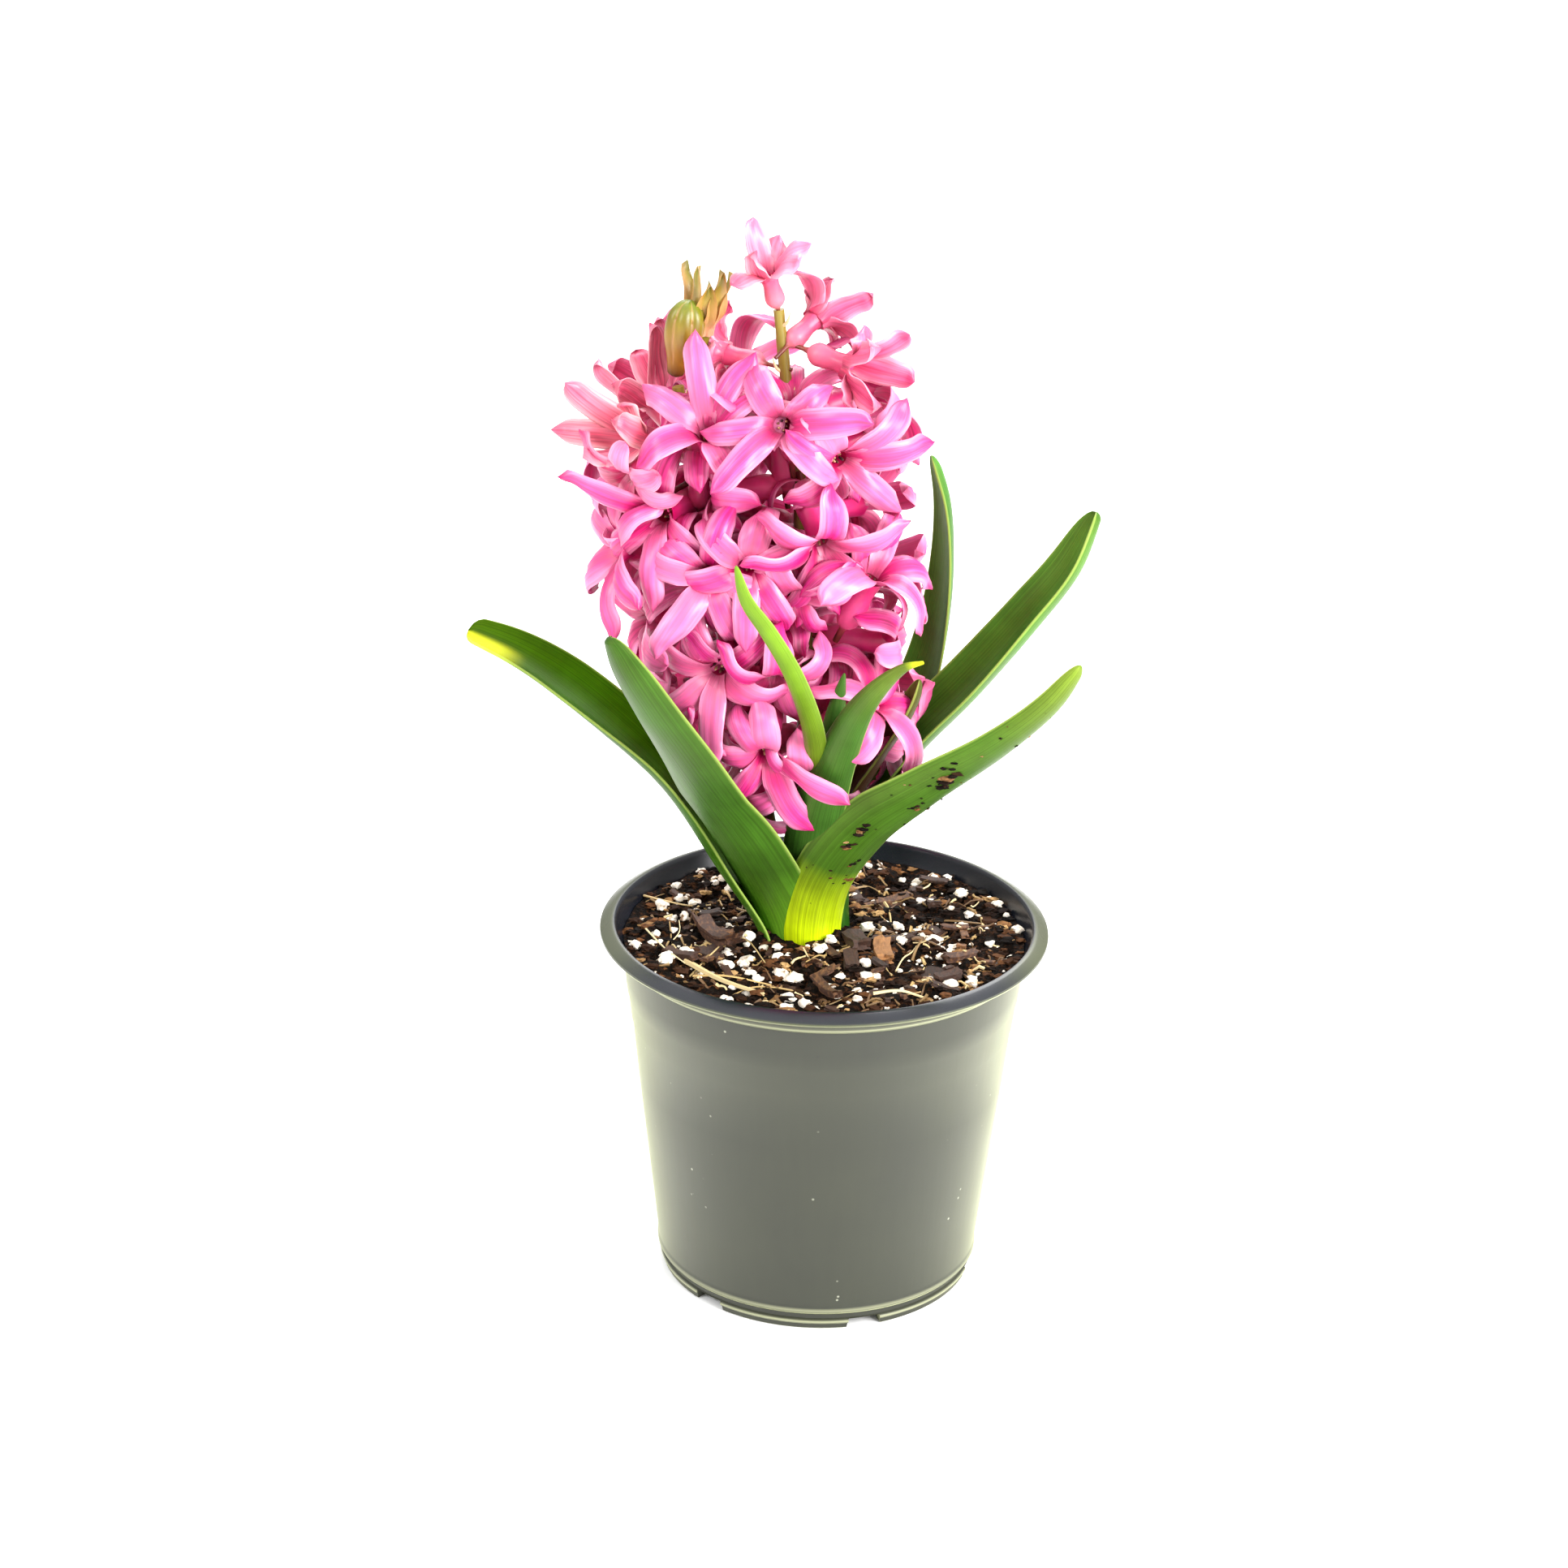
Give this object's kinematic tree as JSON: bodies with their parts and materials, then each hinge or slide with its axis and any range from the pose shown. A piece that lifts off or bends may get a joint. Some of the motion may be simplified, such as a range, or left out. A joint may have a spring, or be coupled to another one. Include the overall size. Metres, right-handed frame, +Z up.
{
  "type": "potted hyacinth plant",
  "caption": "Flowering hyacinth with dense heads of curled florets and broad strap leaves, growing in a round lipped nursery pot filled with potting mix.",
  "frame": {"origin": "centre of the pot's resting face on the ground plane", "axes": "+Z up along the pot's axis, -Y towards the side the front leaves open to, +X to that side's right"},
  "size_m": [0.1472, 0.105, 0.2552],
  "materials": {
    "pot_plastic": "satin",
    "potting_mix": "matte",
    "bulb_scales": "satin",
    "scape": "satin",
    "leaf": "satin",
    "leaf_bloomed": "satin",
    "leaf_sheath": "satin",
    "petal": "satin",
    "petal_pale": "satin",
    "bud": "satin"
  },
  "bodies": {
    "root": {"nursery_pot": "pot_plastic", "potting_mix": "potting_mix", "bulb": "bulb_scales", "scape_main": "scape", "scape_side": "scape", "leaf_front_right": "leaf_bloomed", "leaf_front_left": "leaf_bloomed", "leaf_left": "leaf", "leaf_right": "leaf", "leaf_back_right": "leaf", "leaf_centre": "leaf_bloomed", "leaf_thin_front": "leaf", "leaf_small_inner": "leaf", "leaf_sheath": "leaf_sheath", "flower_heads": "petal", "floret_top": "petal_pale", "floret_upper_right": "petal_pale", "floret_right": "petal_pale", "floret_left": "petal_pale", "buds": "bud"}
  },
  "joints": []
}
